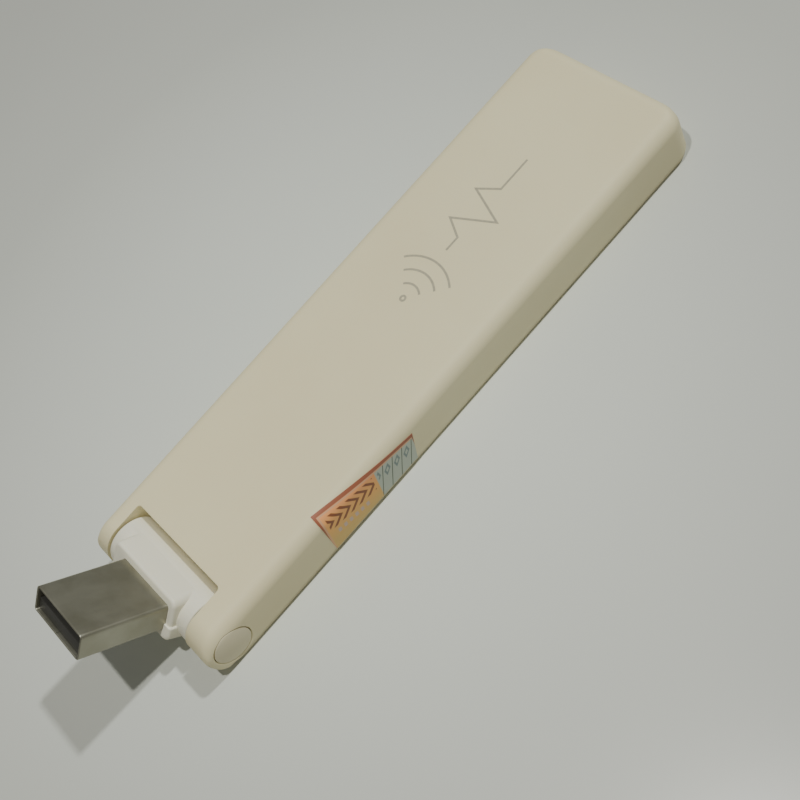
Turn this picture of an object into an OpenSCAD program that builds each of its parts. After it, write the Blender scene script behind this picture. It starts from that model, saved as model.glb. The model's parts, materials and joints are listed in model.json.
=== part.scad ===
// Slim bar-shaped USB Wi-Fi adapter with a swivelling plug.
// The bar lies on its flat back at z = 0, its free end points along +X and the
// plug leaves the other end, turned up about a hinge axis that runs along Y.

/* [Casing] */
// Width of the casing
casing_w = 30; // [30:0.5:34]
// Thickness of the casing
casing_t = 9.2; // [9.2:0.1:10]
// Distance from the hinge axis to the free end
casing_reach = 101.3; // [100.8:0.1:130]
// Radius of the long upper edges
edge_r = 2.2; // [1.6:0.1:2.4]
// Radius of the two free corners, seen from above
corner_r = 3.5; // [3:0.1:5]
// Wall thickness of the cover
wall = 1.1; // [1:0.1:1.2]
// Height of the seam between the cover and the back plate
seam_z = 1; // [0.9:0.1:1.1]
// How far the back plate's edge is set in from the cover's
seam_inset = 0.35; // [0.2:0.05:0.5]

/* [Hinge] */
// Angle of the plug above the straight position, as the adapter lies
plug_tilt = 47.5; // [0:0.5:90]
// Radius of the hinge barrel
barrel_r = 4.4; // [4.2:0.05:4.5]
// Length of the hinge barrel
barrel_l = 20.5; // [20.4:0.1:20.6]
// Width of the slot between the two ears
slot_w = 21.1; // [21.1:0.1:21.2]
// How far the slot and the barrel sit to the left of the centre line
barrel_shift = 0.8; // [0.6:0.1:0.8]
// Distance from the hinge axis to the back wall of the slot
slot_reach = 4.8; // [4.7:0.1:5.1]
// Radius of the round pin heads in the ears' outer faces
pin_head_r = 3.15; // [2.9:0.05:3.3]
// Radius of the pins' shanks, which the barrel turns on
pin_r = 2.2; // [2.1:0.05:2.3]
// Running clearance of the barrel on the pins
running_gap = 0.05; // [0.03:0.01:0.08]

/* [Plug] */
// Width of the plug's metal shell
plug_w = 12; // [11.9:0.05:12.1]
// Height of the plug's metal shell
plug_h = 4.5; // [4.4:0.05:4.6]
// Distance from the hinge axis to the plug's tip
plug_reach = 19.4; // [19:0.1:20]
// Thickness of the shell's sheet metal
sheet = 0.3; // [0.25:0.05:0.35]

/* [Block] */
// Distance from the hinge axis to the front of the block that holds the plug
block_reach = 5.4; // [5.2:0.1:5.6]
// Half the width of the block's upper half
block_half_w = 7.9; // [7.6:0.1:8]
// Half the height of the block
block_half_h = 3.65; // [3.4:0.05:3.7]
// How far the lower half stands out past the upper half, in front and at the sides
lower_lip = 0.3; // [0.2:0.05:0.5]

/* [Board] */
// Length of the circuit board
board_l = 89.5; // [89:0.1:90]
// Width of the circuit board
board_w = 26.4; // [26:0.1:26.8]
// Thickness of the circuit board
board_t = 1; // [0.8:0.1:1]
// Length of the shielding can
can_l = 28; // [26:0.5:29]
// Width of the shielding can
can_w = 20; // [18:0.5:20]
// Height of the shielding can
can_h = 2.1; // [2:0.1:2.4]

/* [Hidden] */
$fn = 96;
e = 0.01;
far = 200;

// The whole object is centred on its bounding box, so the axis lies at -X.
axis_z = casing_t / 2;
plug_back = plug_reach * cos(plug_tilt) + plug_h / 2 * sin(plug_tilt);
axis_x = -(casing_reach - plug_back) / 2;

// The slot and the barrel, along Y
slot_y0 = barrel_shift - slot_w / 2;
slot_y1 = barrel_shift + slot_w / 2;
barrel_y0 = barrel_shift - barrel_l / 2;
barrel_y1 = barrel_shift + barrel_l / 2;
slot_corner_r = 0.6;

// The pins: a flush head in the ear and a shank that reaches into the barrel
pin_head_t = 1;
pin_reach = 2.5;
pin_bore_r = pin_r + running_gap;
head_seat_r = pin_head_r + 0.12;
ear_bore_r = pin_r + 0.02;
right_shank_y = barrel_y0 + pin_reach;
left_shank_y = barrel_y1 - pin_reach;
washer_t = 0.4;
washer_r = 3.2;

// The lead: along the hinge axis through the left pin, then along +X beside the slot
lead_r = 0.65;
lead_turn_r = 1.2;
lead_y = 12.9;
lead_hollow_r = 1.2;
lead_channel_r = 0.9;
lead_end_x = 9.4;
lead_start_y = left_shank_y - 0.7;
core_r = 0.15;

// The inside of the casing
cavity_x0 = slot_reach + 1.3;
cavity_x1 = casing_reach - wall;
cavity_half_w = casing_w / 2 - wall;
cavity_top = casing_t - wall;
rim_h = 1;
rim_t = 0.8;
rim_gap = 0.1;

// The board and what holds it
board_x0 = 8;
board_z0 = 2.8;
board_z1 = board_z0 + board_t;
post_r = 1.5;
peg_r = 0.55;
peg_holes = [for (x = [25, 92], y = [-11.2, 11.2]) [x, y]];

// The parts on the board; places are measured from the hinge axis and the centre line
can_x0 = 31;
chip_size = [9, 9, 0.9];
chip_at = [47, 0];
flash_size = [4, 5, 1.2];
flash_at = [36, 4.5];
crystal_size = [3.2, 2.5, 0.8];
crystal_at = [36, -4];
amplifier_size = [3, 3, 0.8];
amplifier_at = [[65, 6], [65, -6]];
converter_size = [3, 3, 0.9];
converter_at = [18, -3];
inductor_size = [4, 4, 1.8];
inductor_at = [18, 3];
led_size = [1.6, 0.8, 0.7];
led_at = [11, -9];
capacitor_size = [1.6, 0.8, 0.8];
capacitor_at = [for (y = [-6, -3, 0, 3]) [13, y], for (x = [61.5, 69], y = [-3, 3]) [x, y]];
resistor_size = [1, 0.5, 0.35];
resistor_at = [for (y = [-9, -7.4, -5.8]) [24, y], for (y = [4, 5.2, 6.4, 7.6]) [24, y]];
pad_t = 0.2;
pad_at = [for (k = [0:3]) [13.6, 12.4 - 1.1 * k]];

// The printed antennas: meanders of equal turns at the free end
trace_t = 0.06;
trace_w = 0.8;
antenna_x0 = 76;
antenna_turns = 6;
antenna_pitch = 3;
antenna_y = [1.4, 9.4];

// The reset switch hangs under the board, behind a pin hole in the back plate
reset_at = [22, -5];
reset_size = [3.4, 3, 1.1];
plunger_r = 0.6;
plunger_out = 0.45;
plunger_travel = 0.25;
pin_hole_r = 0.65;

// The hinge block's round corners, the slope behind its top, and the drop from the parting to the lip
block_corner_r = 1.2;
slope_start = 0.3;
slope_h = barrel_r - 0.02;
slope_end = block_reach - 0.5;
lip_drop = 0.95;

// The plug's inside
shell_start = 1.5;
insulator_start = 1.6;
insulator_gap = 0.03;
shell_inner_r = 0.3;
tongue_start = 7;
tongue_end = 18.8;
tongue_top = -0.05;
contact_w = 1;
contact_t = 0.25;
contact_top = tongue_top + 0.1;
contact_y = [3.5, 1, -1, -3.5];
contact_reach = [17.4, 16.4, 16.4, 17.4];
core_x = [for (k = [0:3]) 0.42 * k - 0.95];
window = [2.2, 2.4];
window_x = 14;

// The sticker that wraps over the right edge
sticker_t = 0.08;
sticker_outline = [[19.9, seam_z + 0.4], [20.9, casing_t + 1], [39.3, 6.5], [37.9, seam_z + 0.4]];

// ---- Placing --------------------------------------------------------------

// Pieces that belong to the casing: measured from the hinge axis, above the back
module on_casing() {
    translate([axis_x, 0, 0]) children();
}

// Pieces that swing with the plug: drawn with the plug straight along -X
module on_plug() {
    translate([axis_x, 0, axis_z]) rotate([0, plug_tilt, 0]) children();
}

// A round bar along Y from y0 to y1, centred on the hinge axis of its group
module bar_y(r, y0, y1) {
    translate([0, y1, 0]) rotate([90, 0, 0]) cylinder(r = r, h = y1 - y0);
}

// A round bar between two points
module rod(from, to, r) {
    d = to - from;
    translate(from)
        rotate([0, acos(d[2] / norm(d)), atan2(d[1], d[0])])
            cylinder(r = r, h = norm(d), $fn = 24);
}

// A flat part standing on the board at [x, y]
module on_board(at, size) {
    translate([at[0] - size[0] / 2, at[1] - size[1] / 2, board_z1]) cube(size);
}

// ---- Casing shape ---------------------------------------------------------

// Cross-section of the bar from z0 to z1, with both upper corners rounded
module bar_section(half_w, z0, z1, r) {
    translate([-half_w, z0]) square([2 * half_w, z1 - r - z0]);
    translate([r - half_w, z0]) square([2 * (half_w - r), z1 - z0]);
    for (s = [-1, 1]) translate([s * (half_w - r), z1 - r]) circle(r = r);
}

// The bar from x0 to x1: a straight run, a straight end and two turned corners
module bar_form(x0, x1, half_w, z0, z1, r, plan_r) {
    translate([x0, 0, 0])
        rotate([90, 0, 90]) linear_extrude(x1 - plan_r - x0) bar_section(half_w, z0, z1, r);
    translate([x1 - plan_r, half_w - plan_r, 0])
        rotate([90, 0, 0]) linear_extrude(2 * (half_w - plan_r)) end_section(plan_r, z0, z1, r);
    for (s = [-1, 1])
        translate([x1 - plan_r, s * (half_w - plan_r), 0])
            rotate_extrude() end_section(plan_r, z0, z1, r);
}

// The outer part of that cross-section, from its own centre out to reach
module end_section(reach, z0, z1, r) {
    translate([0, z0]) square([reach, z1 - r - z0]);
    translate([0, z0]) square([reach - r, z1 - z0]);
    translate([reach - r, z1 - r]) intersection() {
        circle(r = r);
        square(r);
    }
}

// Side view of the casing: the ears are round about the hinge axis
module side_limit() {
    rotate([90, 0, 0]) linear_extrude(far, center = true) {
        translate([0, axis_z]) circle(r = axis_z);
        square([far, casing_t]);
    }
}

// The slot between the ears, rounded where it meets its back wall
module slot_cut() {
    r = slot_corner_r;
    translate([0, 0, -1]) linear_extrude(casing_t + 2) {
        translate([-far, slot_y0]) square([far + slot_reach - r, slot_w]);
        translate([0, slot_y0 + r]) square([slot_reach, slot_w - 2 * r]);
        for (y = [slot_y0 + r, slot_y1 - r]) translate([slot_reach - r, y]) circle(r = r);
    }
}

module cavity(inset, z0, z1) {
    bar_form(cavity_x0 + inset, cavity_x1 - inset, cavity_half_w - inset, z0, z1,
             edge_r - wall, corner_r - wall);
}

// ---- Casing pieces --------------------------------------------------------

module top_cover() {
    color([0.86, 0.83, 0.74]) on_casing() {
        difference() {
            intersection() {
                bar_form(-axis_z, casing_reach, casing_w / 2, seam_z, casing_t, edge_r, corner_r);
                side_limit();
            }
            slot_cut();
            cavity(0, seam_z - e, cavity_top);
            // pin bores and the seats of the pin heads
            translate([0, 0, axis_z]) {
                bar_y(ear_bore_r, -far, slot_y0 + e);
                bar_y(ear_bore_r, slot_y1 - e, far);
                bar_y(head_seat_r, -far, pin_head_t - casing_w / 2);
                bar_y(head_seat_r, casing_w / 2 - pin_head_t, far);
            }
            // channel for the lead, from the left pin into the casing
            translate([0, lead_y, axis_z]) rotate([0, 90, 0])
                cylinder(r = lead_channel_r, h = cavity_x0 + 1);
            // thin spot that the status light shines through
            translate([led_at[0], led_at[1], cavity_top - 1]) cylinder(r = 1.5, h = 1.6);
        }
        // posts that hold the board down
        for (p = peg_holes)
            translate([p[0], p[1], board_z1]) difference() {
                cylinder(r = post_r, h = cavity_top - board_z1);
                translate([0, 0, -e]) cylinder(r = peg_r + 0.15, h = 1);
            }
    }
}

module back_plate() {
    half_w = casing_w / 2 - seam_inset;
    color([0.84, 0.81, 0.73]) on_casing() {
        difference() {
            union() {
                intersection() {
                    linear_extrude(seam_z) back_outline(half_w);
                    translate([seam_inset, 0, 0]) side_limit();
                }
                // rim that locates the cover
                difference() {
                    cavity(rim_gap, seam_z - e, seam_z + rim_h + edge_r);
                    cavity(rim_gap + rim_t, seam_z - 2 * e, seam_z + far);
                    translate([0, 0, seam_z + rim_h]) linear_extrude(far)
                        square(2 * far, center = true);
                }
                for (p = peg_holes) {
                    translate([p[0], p[1], seam_z - e]) cylinder(r = post_r, h = board_z0 - seam_z + e);
                    translate([p[0], p[1], seam_z]) cylinder(r = peg_r, h = board_z1 + 0.5 - seam_z);
                }
            }
            slot_cut();
            // pin hole for the reset switch
            translate([reset_at[0], reset_at[1], -1]) cylinder(r = pin_hole_r, h = seam_z + 2);
        }
    }
}

module back_outline(half_w) {
    r = corner_r - seam_inset;
    x1 = casing_reach - seam_inset;
    translate([-axis_z, -half_w]) square([x1 + axis_z - r, 2 * half_w]);
    translate([0, r - half_w]) square([x1, 2 * (half_w - r)]);
    for (s = [-1, 1]) translate([x1 - r, s * (half_w - r)]) circle(r = r);
}

// ---- Hinge pieces ---------------------------------------------------------

// A pin's head follows the casing's rounded edge, so it is cut to the casing's shape
module pin_form(y_head, y_shank) {
    side = sign(y_head);
    intersection() {
        union() {
            if (side > 0) {
                bar_y(pin_r, y_shank, y_head);
                bar_y(pin_head_r, y_head - pin_head_t, y_head);
            } else {
                bar_y(pin_r, y_head, y_shank);
                bar_y(pin_head_r, y_head, y_head + pin_head_t);
            }
        }
        translate([0, 0, -axis_z]) rotate([90, 0, 90])
            linear_extrude(far, center = true) bar_section(casing_w / 2, 0, casing_t, edge_r);
    }
}

module pivot_pin_left() {
    color([0.86, 0.83, 0.74]) on_casing() translate([0, 0, axis_z]) difference() {
        pin_form(casing_w / 2, left_shank_y);
        // hollow for the lead, with a slot where the lead turns off
        bar_y(lead_hollow_r, left_shank_y - e, lead_y + lead_channel_r);
        translate([0, lead_y - lead_channel_r, -lead_channel_r])
            cube([far, 2 * lead_channel_r, 2 * lead_channel_r]);
    }
}

module pivot_pin_right() {
    color([0.86, 0.83, 0.74]) on_casing() translate([0, 0, axis_z])
        pin_form(-casing_w / 2, right_shank_y);
}

module friction_washer() {
    color("silver") on_casing() translate([0, 0, axis_z]) difference() {
        bar_y(washer_r, slot_y0, slot_y0 + washer_t);
        bar_y(pin_r + 0.1, slot_y0 - 1, slot_y0 + washer_t + 1);
    }
}

// Front view of the block: a rectangle with round corners, centred on the barrel
module block_section(half_w) {
    r = block_corner_r;
    h = block_half_h;
    translate([-half_w, r - h]) square([2 * half_w, 2 * (h - r)]);
    translate([r - half_w, -h]) square([2 * (half_w - r), 2 * h]);
    for (x = [r - half_w, half_w - r], z = [r - h, h - r]) translate([x, z]) circle(r = r);
}

// The block that holds the plug, reaching forward from the hinge axis
module hinge_block(reach, half_w) {
    translate([0, barrel_shift, 0]) rotate([90, 0, -90]) linear_extrude(reach) block_section(half_w);
}

// The barrel with its block, before it is split into halves; a slope joins the barrel's top to the block's
module hinge_form() {
    slope_half_w = block_half_w - block_corner_r;
    bar_y(barrel_r, barrel_y0, barrel_y1);
    hinge_block(block_reach, block_half_w);
    translate([0, barrel_shift + slope_half_w, 0]) rotate([90, 0, 0]) linear_extrude(2 * slope_half_w)
        polygon([[-slope_start, slope_h], [-slope_end, block_half_h], [-slope_end, -block_half_h],
                 [-slope_start, -slope_h]]);
}

module hinge_hollow() {
    bar_y(pin_bore_r, barrel_y0 - e, right_shank_y + 0.3);
    bar_y(pin_bore_r, left_shank_y - 0.3, barrel_y1 + e);
    bar_y(washer_r + 0.15, barrel_y0 - e, slot_y0 + washer_t + 0.1);
    // pocket of the metal shell, open to the front
    translate([-far - shell_start, -plug_w / 2, -plug_h / 2]) cube([far, plug_w, plug_h]);
    // room for the contacts' tails and the cores
    translate([-shell_start - e, right_shank_y + 0.2, -1.8])
        cube([shell_start + 3, left_shank_y - right_shank_y - 0.4, 3.6]);
}

module hinge_half_upper() {
    color([0.88, 0.87, 0.82]) on_plug() difference() {
        hinge_form();
        hinge_hollow();
        translate([-far / 2, -far / 2, -far]) cube(far);
    }
}

module hinge_half_lower() {
    color([0.88, 0.87, 0.82]) on_plug() difference() {
        union() {
            hinge_form();
            difference() {
                hinge_block(block_reach + lower_lip, block_half_w + lower_lip);
                translate([-far / 2, -far / 2, -lip_drop]) cube(far);
            }
        }
        hinge_hollow();
        translate([-far / 2, -far / 2, 0]) cube(far);
    }
}

// ---- Plug pieces ----------------------------------------------------------

module shell_section(half_w, half_h, r) {
    translate([-half_w, r - half_h]) square([2 * half_w, 2 * (half_h - r)]);
    translate([r - half_w, -half_h]) square([2 * (half_w - r), 2 * half_h]);
    for (x = [r - half_w, half_w - r], z = [r - half_h, half_h - r]) translate([x, z]) circle(r = r);
}

module plug_shell() {
    color([0.6, 0.59, 0.56]) on_plug() difference() {
        translate([-shell_start, 0, 0]) rotate([90, 0, -90])
            linear_extrude(plug_reach - shell_start) difference() {
                shell_section(plug_w / 2, plug_h / 2, 0.55);
                shell_section(plug_w / 2 - sheet, plug_h / 2 - sheet, shell_inner_r);
            }
        // latch windows in the underside
        for (y = [-3, 3])
            translate([-window_x - window[0] / 2, y - window[1] / 2, -far]) cube([window[0], window[1], far]);
    }
}

module plug_insulator() {
    half_w = plug_w / 2 - sheet - insulator_gap;
    half_h = plug_h / 2 - sheet - insulator_gap;
    color([0.9, 0.9, 0.88]) on_plug() difference() {
        translate([-insulator_start, 0, 0]) rotate([90, 0, -90])
            linear_extrude(tongue_end - insulator_start) shell_section(half_w, half_h, shell_inner_r);
        // the mouth's free half, above the tongue
        translate([-tongue_end - e, -plug_w / 2, tongue_top]) cube([tongue_end - tongue_start + e, plug_w, plug_h]);
        for (k = [0:3]) contact_bar(k);
    }
}

// One gold-plated strip, from its tail behind the insulator to its end on the tongue
module contact_bar(k) {
    translate([-contact_reach[k], contact_y[k] - contact_w / 2, contact_top - contact_t])
        cube([contact_reach[k] + core_x[k] + core_r, contact_w, contact_t]);
}

module contact_power() {
    color("gold") on_plug() contact_bar(0);
}

module contact_data_minus() {
    color("gold") on_plug() contact_bar(1);
}

module contact_data_plus() {
    color("gold") on_plug() contact_bar(2);
}

module contact_ground() {
    color("gold") on_plug() contact_bar(3);
}

// Four cores side by side, from the lead's end on the axis to the contacts' tails
module plug_cores() {
    color([0.75, 0.2, 0.15]) on_plug()
        for (k = [0:3])
            translate([core_x[k], 0, contact_top + core_r])
                bar_y(core_r, contact_y[k] - contact_w / 2, lead_start_y - 0.05);
}

// ---- Board and its parts --------------------------------------------------

module main_board() {
    color([0.1, 0.35, 0.2]) on_casing() difference() {
        translate([board_x0, -board_w / 2, board_z0]) cube([board_l, board_w, board_t]);
        for (p = peg_holes) translate([p[0], p[1], 0]) cylinder(r = peg_r + 0.05, h = far);
    }
}

module lead_cable() {
    turn_y = lead_y - lead_turn_r;
    color([0.2, 0.2, 0.2]) on_casing() translate([0, 0, axis_z]) {
        bar_y(lead_r, lead_start_y, turn_y);
        translate([lead_turn_r, turn_y, 0]) rotate([0, 0, 90])
            rotate_extrude(angle = 90) translate([lead_turn_r, 0]) circle(r = lead_r);
        translate([lead_turn_r, lead_y, 0]) rotate([0, 90, 0])
            cylinder(r = lead_r, h = lead_end_x - lead_turn_r);
    }
}

module lead_cores() {
    color([0.75, 0.2, 0.15]) on_casing()
        for (k = [0:3])
            rod([lead_end_x, lead_y + 0.45 - 0.4 * k, axis_z],
                [pad_at[k][0], pad_at[k][1], board_z1 + pad_t + core_r], core_r);
}

module solder_pads() {
    color("silver") on_casing() for (p = pad_at)
        translate([p[0], p[1], board_z1]) cylinder(r = 0.5, h = pad_t);
}

module main_chip() {
    color([0.12, 0.12, 0.13]) on_casing() on_board(chip_at, chip_size);
}

module flash_chip() {
    color([0.12, 0.12, 0.13]) on_casing() on_board(flash_at, flash_size);
}

module crystal() {
    color("silver") on_casing() on_board(crystal_at, crystal_size);
}

module radio_amplifiers() {
    color([0.12, 0.12, 0.13]) on_casing() for (p = amplifier_at) on_board(p, amplifier_size);
}

module can_walls(l, w, h, t) {
    difference() {
        cube([l, w, h]);
        translate([t, t, -1]) cube([l - 2 * t, w - 2 * t, far]);
    }
}

module shield_frame() {
    color("silver") on_casing() translate([can_x0, -can_w / 2, board_z1])
        can_walls(can_l, can_w, can_h - 0.4, 0.25);
}

module shield_lid() {
    t = 0.2;
    gap = 0.05;
    color("lightgray") on_casing() translate([can_x0 - t - gap, -can_w / 2 - t - gap, board_z1 + 0.4])
        difference() {
            cube([can_l + 2 * (t + gap), can_w + 2 * (t + gap), can_h - 0.4]);
            translate([t, t, -1]) cube([can_l + 2 * gap, can_w + 2 * gap, can_h - 0.4 - t + 1]);
        }
}

module thermal_pad() {
    color([0.6, 0.65, 0.75]) on_casing() translate([chip_at[0] - 8, -7, board_z1 + can_h])
        cube([16, 14, cavity_top - board_z1 - can_h]);
}

module power_converter() {
    color([0.12, 0.12, 0.13]) on_casing() on_board(converter_at, converter_size);
}

module power_inductor() {
    color([0.3, 0.3, 0.3]) on_casing() on_board(inductor_at, inductor_size);
}

module capacitors() {
    color([0.6, 0.45, 0.3]) on_casing() for (p = capacitor_at) on_board(p, capacitor_size);
}

module resistors() {
    color([0.15, 0.15, 0.15]) on_casing() for (p = resistor_at) on_board(p, resistor_size);
}

module status_led() {
    color([0.95, 0.95, 0.8]) on_casing() on_board(led_at, led_size);
}

// One antenna: a feed strip and a meander of equal turns, mirrored for the other side
module antenna() {
    color([0.8, 0.5, 0.3]) on_casing() translate([0, 0, board_z1]) linear_extrude(trace_t) {
        translate([antenna_x0 - 6, 6 - trace_w / 2]) square([6 + trace_w, trace_w]);
        for (k = [0:antenna_turns]) translate([antenna_x0 + k * antenna_pitch, antenna_y[0]])
            square([trace_w, antenna_y[1] - antenna_y[0]]);
        for (k = [0:antenna_turns - 1])
            translate([antenna_x0 + k * antenna_pitch, antenna_y[k % 2] - (k % 2) * trace_w])
                square([antenna_pitch + trace_w, trace_w]);
    }
}

module antenna_left() {
    antenna();
}

module antenna_right() {
    mirror([0, 1, 0]) antenna();
}

module reset_switch() {
    color([0.15, 0.15, 0.16]) on_casing() translate([reset_at[0], reset_at[1], board_z0 - reset_size[2]])
        difference() {
            translate([-reset_size[0] / 2, -reset_size[1] / 2, 0]) cube(reset_size);
            translate([0, 0, -1]) cylinder(r = plunger_r + 0.05, h = 1 + 0.8);
        }
}

module reset_plunger() {
    color([0.9, 0.9, 0.9]) on_casing()
        translate([reset_at[0], reset_at[1], board_z0 - reset_size[2] - plunger_out])
            cylinder(r = plunger_r, h = plunger_out + 0.8 - plunger_travel - 0.05);
}

// ---- Trim -----------------------------------------------------------------

module edge_sticker() {
    color([0.8, 0.45, 0.2]) on_casing() intersection() {
        rotate([90, 0, 90]) linear_extrude(far) difference() {
            bar_section(casing_w / 2 + sticker_t, seam_z, casing_t + sticker_t, edge_r + sticker_t);
            bar_section(casing_w / 2, seam_z - 1, casing_t, edge_r);
            translate([edge_r - casing_w / 2, 0]) square(far);
        }
        rotate([90, 0, 0]) linear_extrude(far) polygon(sticker_outline);
    }
}

top_cover();
back_plate();
pivot_pin_left();
pivot_pin_right();
friction_washer();
hinge_half_upper();
hinge_half_lower();
plug_shell();
plug_insulator();
contact_power();
contact_data_minus();
contact_data_plus();
contact_ground();
plug_cores();
main_board();
lead_cable();
lead_cores();
solder_pads();
main_chip();
flash_chip();
crystal();
radio_amplifiers();
shield_frame();
shield_lid();
thermal_pad();
power_converter();
power_inductor();
capacitors();
resistors();
status_led();
antenna_left();
antenna_right();
reset_switch();
reset_plunger();
edge_sticker();
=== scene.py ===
import json

import bpy
import bmesh
import numpy as np
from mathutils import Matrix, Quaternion, Vector


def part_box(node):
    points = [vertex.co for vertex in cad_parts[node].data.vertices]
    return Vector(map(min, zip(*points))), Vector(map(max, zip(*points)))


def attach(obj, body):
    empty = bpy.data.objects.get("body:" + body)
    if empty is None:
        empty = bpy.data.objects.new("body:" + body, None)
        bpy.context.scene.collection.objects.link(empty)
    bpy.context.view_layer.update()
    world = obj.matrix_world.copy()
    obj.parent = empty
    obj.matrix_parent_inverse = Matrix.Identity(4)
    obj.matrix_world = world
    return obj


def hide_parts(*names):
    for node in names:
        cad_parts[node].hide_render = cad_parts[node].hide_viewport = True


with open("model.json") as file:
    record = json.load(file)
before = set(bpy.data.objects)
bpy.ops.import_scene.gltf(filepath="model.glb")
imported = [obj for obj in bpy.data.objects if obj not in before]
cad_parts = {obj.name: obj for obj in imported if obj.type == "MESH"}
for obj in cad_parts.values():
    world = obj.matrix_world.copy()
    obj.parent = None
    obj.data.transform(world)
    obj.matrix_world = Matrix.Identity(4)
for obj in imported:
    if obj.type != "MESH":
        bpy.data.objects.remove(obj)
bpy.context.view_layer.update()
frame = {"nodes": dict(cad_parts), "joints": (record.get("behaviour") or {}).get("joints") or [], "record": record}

# ---- The desk, the room's light and the camera -----------------------------------------
# The adapter lies on a pale, smooth desk top under two ceiling lamps, one almost overhead
# and one beyond its free end, with soft light from the rest of the room.

MM = 0.001
scene = bpy.context.scene
camera_at = Vector((-17.56, -110.8, 157.46)) * MM
camera_aim = Vector((-1.05, -8.36, 4.6)) * MM
camera_roll = np.radians(-40.72)
camera_lens = 56.26

camera = bpy.data.objects.new("camera", bpy.data.cameras.new("camera"))
scene.collection.objects.link(camera)
camera.location = camera_at
camera.rotation_mode = "QUATERNION"
camera.rotation_quaternion = ((camera_aim - camera_at).to_track_quat("-Z", "Y")
                              @ Quaternion((0, 0, 1), camera_roll))
camera.data.sensor_width = 36
camera.data.lens = camera_lens
camera.data.clip_start = 0.005
camera.data.clip_end = 20
scene.camera = camera


def lamp_object(name, lamp, towards):
    """A lamp's object, shining back along the direction `towards` from the adapter to the lamp."""
    holder = bpy.data.objects.new(name, lamp)
    scene.collection.objects.link(holder)
    holder.rotation_mode = "QUATERNION"
    holder.rotation_quaternion = Vector(towards).to_track_quat("Z", "Y")
    return holder


# The overhead lamp is a small disk close enough for its light to fall off over the desk.
overhead = bpy.data.lights.new("lamp_overhead", "AREA")
overhead.shape = "DISK"
overhead.size = 0.0135
overhead.energy = 0.655
overhead.color = (1.0, 0.985, 0.93)
overhead_towards = Vector((0.06, -0.105, 0.99))
overhead_distance = 0.38
lit_corner = Vector((-0.05, 0, 0))
overhead_object = lamp_object("lamp_overhead", overhead, overhead_towards)
overhead_object.location = lit_corner + overhead_towards * overhead_distance

# The lamp beyond the free end is far away, so its light is parallel.
beyond = bpy.data.lights.new("lamp_beyond", "SUN")
beyond.energy = 1.62
beyond.angle = np.radians(3.0)
beyond.color = (0.97, 1.0, 0.98)
beyond_towards = (0.61, -0.055, 0.79)
lamp_object("lamp_beyond", beyond, beyond_towards)

# The rest of the room is evenly dim.
room_grey = (0.185, 0.185, 0.17)
room = bpy.data.worlds.new("room")
scene.world = room
room.use_nodes = True
nodes, links = room.node_tree.nodes, room.node_tree.links
nodes["Background"].inputs["Color"].default_value = (*room_grey, 1)
nodes["Background"].inputs["Strength"].default_value = 1.0


def new_material(name):
    """An empty node material: its node tree's nodes, links and shader."""
    material = bpy.data.materials.new(name)
    material.use_nodes = True
    tree = material.node_tree
    return material, tree.nodes, tree.links, tree.nodes["Principled BSDF"]


def object_noise(nodes, links, scale, detail=3.0, stretch=(1, 1, 1)):
    """Noise on Object coordinates, so the pattern stays on the piece; scale is per metre."""
    place = nodes.new("ShaderNodeTexCoord")
    mapping = nodes.new("ShaderNodeMapping")
    noise = nodes.new("ShaderNodeTexNoise")
    mapping.inputs["Scale"].default_value = stretch
    noise.inputs["Scale"].default_value = scale
    noise.inputs["Detail"].default_value = detail
    links.new(place.outputs["Object"], mapping.inputs["Vector"])
    links.new(mapping.outputs["Vector"], noise.inputs["Vector"])
    return noise


def ramp_between(nodes, links, source, stops):
    """A colour ramp from a grey value: stops are (position, colour)."""
    ramp = nodes.new("ShaderNodeValToRGB")
    elements = ramp.color_ramp.elements
    while len(elements) < len(stops):
        elements.new(0.5)
    for element, (position, colour) in zip(elements, stops):
        element.position = position
        element.color = (*colour, 1)
    links.new(source, ramp.inputs["Fac"])
    return ramp


def fine_bump(nodes, links, shader, height, strength, distance):
    """Surface relief from a grey height, up to distance metres deep."""
    bump = nodes.new("ShaderNodeBump")
    bump.inputs["Strength"].default_value = strength
    bump.inputs["Distance"].default_value = distance
    links.new(height, bump.inputs["Height"])
    links.new(bump.outputs["Normal"], shader.inputs["Normal"])


def grey_range(nodes, links, source, low, high):
    """A grey value from 0..1 spread over low..high."""
    spread = nodes.new("ShaderNodeMapRange")
    spread.inputs["To Min"].default_value = low
    spread.inputs["To Max"].default_value = high
    links.new(source, spread.inputs["Value"])
    return spread.outputs["Result"]


# The desk top runs on far past the adapter, so its edge shows only in low views.
desk_half = 6
desk_mottle = [(0.3, (0.70, 0.735, 0.675)), (0.7, (0.74, 0.77, 0.71))]
# Painted light on the desk: a pool of light about this middle, dimmed by these factors with distance in metres.
painted_pool_middle = (0, 0.005, 0)
desk_painted_light_falloff = [(0.02, (1.0, 1.0, 1.0)), (0.045, (0.925, 0.92, 0.92)),
                (0.082, (0.755, 0.74, 0.74)), (0.13, (0.69, 0.67, 0.67))]
desk_mesh = bpy.data.meshes.new("desk")
desk_mesh.from_pydata([(-desk_half, -desk_half, 0), (desk_half, -desk_half, 0),
                       (desk_half, desk_half, 0), (-desk_half, desk_half, 0)], [], [(0, 1, 2, 3)])
desk = bpy.data.objects.new("desk", desk_mesh)
scene.collection.objects.link(desk)
desk_paint, nodes, links, shader = new_material("desk_laminate")
mottle = object_noise(nodes, links, 9.0, 4.0)
mottle_ramp = ramp_between(nodes, links, mottle.outputs["Fac"], desk_mottle)
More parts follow.
